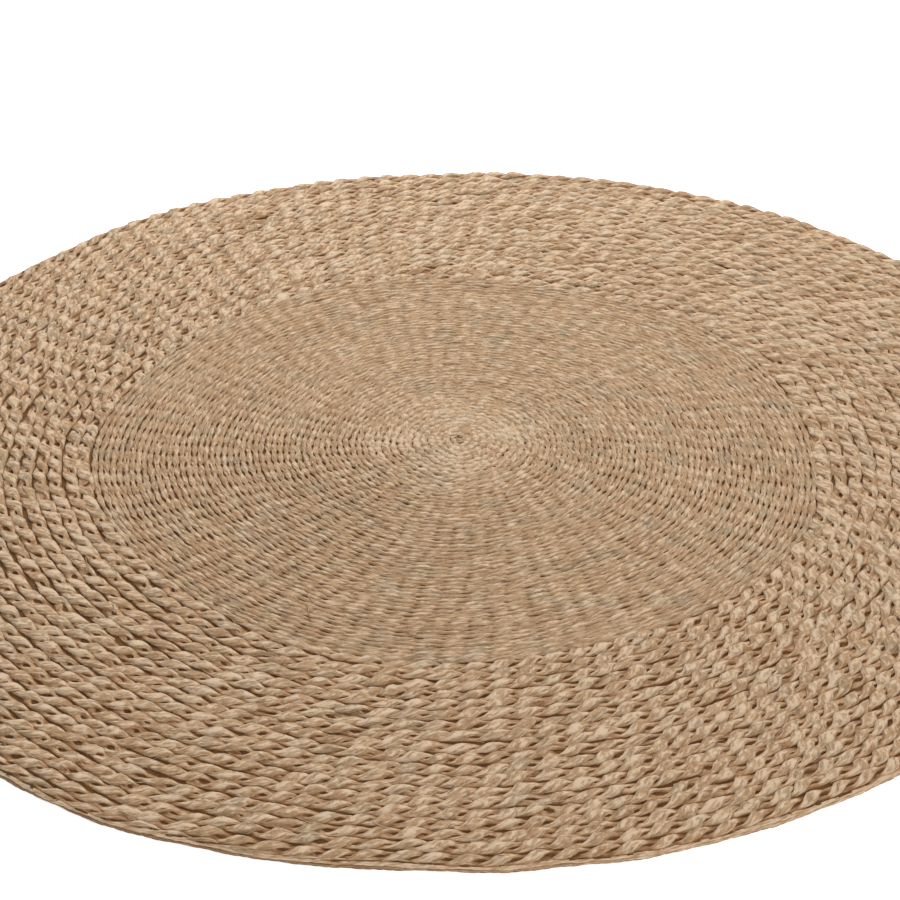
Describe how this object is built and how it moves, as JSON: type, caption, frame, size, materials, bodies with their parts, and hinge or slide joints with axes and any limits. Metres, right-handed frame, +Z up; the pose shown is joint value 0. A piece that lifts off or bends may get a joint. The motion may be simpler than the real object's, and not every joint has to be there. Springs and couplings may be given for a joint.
{
  "type": "round woven grass rug",
  "caption": "Round natural-grass floor rug woven in one piece, with a fine flat centre and a coarse ribbed border.",
  "frame": {"origin": "middle of the flat underside, on the floor", "axes": "+Z up out of the pile side; X and Y lie in the floor, and the tucked end of the last round is near -Y"},
  "size_m": [1.5008, 1.4986, 0.0123],
  "materials": {
    "twisted_grass": "dry matt straw-coloured grass strands with greyish-green and orange-brown blades"
  },
  "bodies": {
    "root": {"woven_rug": "twisted_grass"}
  },
  "joints": []
}
